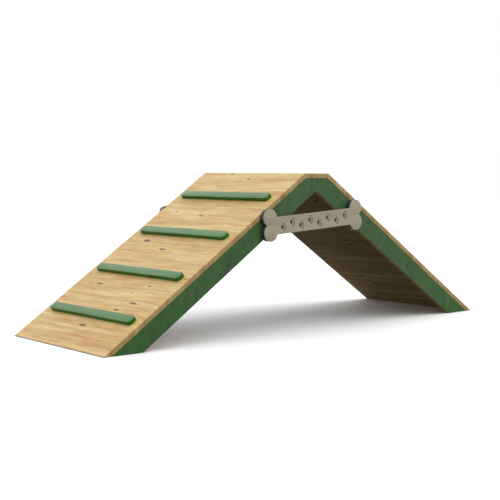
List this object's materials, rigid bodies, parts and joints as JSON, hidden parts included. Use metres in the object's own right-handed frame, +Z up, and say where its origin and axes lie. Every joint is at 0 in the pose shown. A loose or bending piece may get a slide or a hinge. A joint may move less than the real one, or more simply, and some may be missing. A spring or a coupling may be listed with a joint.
{
  "type": "dog climbing house",
  "caption": "A-shaped dog climbing ramp: two sloping pine decks meet in a short flat ridge, with grip cleats, green side boards and a bone-shaped sign over the passage below.",
  "frame": {"origin": "on the ground, midway between the two feet and between the two sides", "axes": "+X from the left foot to the right foot, +Y from the near side with the full side board to the far side, +Z up"},
  "size_m": [3.1, 1.0692, 0.98],
  "materials": {
    "pine": "planed pine with knots, clear oiled",
    "side_green": "green stained pine, grain showing",
    "cleat_green": "green glazed hardwood, eased edges",
    "sign_dark": "dark blue-grey sheet, satin sawn edge",
    "sign_beige": "beige wood-effect skin, fine brushed grain",
    "screw_zinc": "zinc plated"
  },
  "bodies": {
    "root": {"far_left_batten": "pine", "far_left_ridge_plate": "side_green", "far_right_batten": "pine", "far_right_ridge_plate": "side_green", "far_sign_core": "sign_dark", "far_sign_face": "sign_beige", "far_sign_screw_1": "screw_zinc", "far_sign_screw_2": "screw_zinc", "far_sign_screw_3": "screw_zinc", "far_sign_screw_4": "screw_zinc", "left_cleat_1": "cleat_green", "left_cleat_1_screw_1": "screw_zinc", "left_cleat_1_screw_2": "screw_zinc", "left_cleat_2": "cleat_green", "left_cleat_2_screw_1": "screw_zinc", "left_cleat_2_screw_2": "screw_zinc", "left_cleat_3": "cleat_green", "left_cleat_3_screw_1": "screw_zinc", "left_cleat_3_screw_2": "screw_zinc", "left_cleat_4": "cleat_green", "left_cleat_4_screw_1": "screw_zinc", "left_cleat_4_screw_2": "screw_zinc", "left_deck": "pine", "left_deck_beam_screw_1": "screw_zinc", "left_deck_beam_screw_2": "screw_zinc", "near_left_batten": "pine", "near_left_cheek": "side_green", "near_right_batten": "pine", "near_right_cheek": "side_green", "near_sign_core": "sign_dark", "near_sign_face": "sign_beige", "near_sign_screw_1": "screw_zinc", "near_sign_screw_2": "screw_zinc", "near_sign_screw_3": "screw_zinc", "near_sign_screw_4": "screw_zinc", "ridge_beam": "pine", "ridge_deck": "pine", "ridge_deck_beam_screw_1": "screw_zinc", "ridge_deck_beam_screw_2": "screw_zinc", "right_cleat_1": "cleat_green", "right_cleat_1_screw_1": "screw_zinc", "right_cleat_1_screw_2": "screw_zinc", "right_cleat_2": "cleat_green", "right_cleat_2_screw_1": "screw_zinc", "right_cleat_2_screw_2": "screw_zinc", "right_cleat_3": "cleat_green", "right_cleat_3_screw_1": "screw_zinc", "right_cleat_3_screw_2": "screw_zinc", "right_cleat_4": "cleat_green", "right_cleat_4_screw_1": "screw_zinc", "right_cleat_4_screw_2": "screw_zinc", "right_deck": "pine", "right_deck_beam_screw_1": "screw_zinc", "right_deck_beam_screw_2": "screw_zinc"}
  },
  "joints": []
}
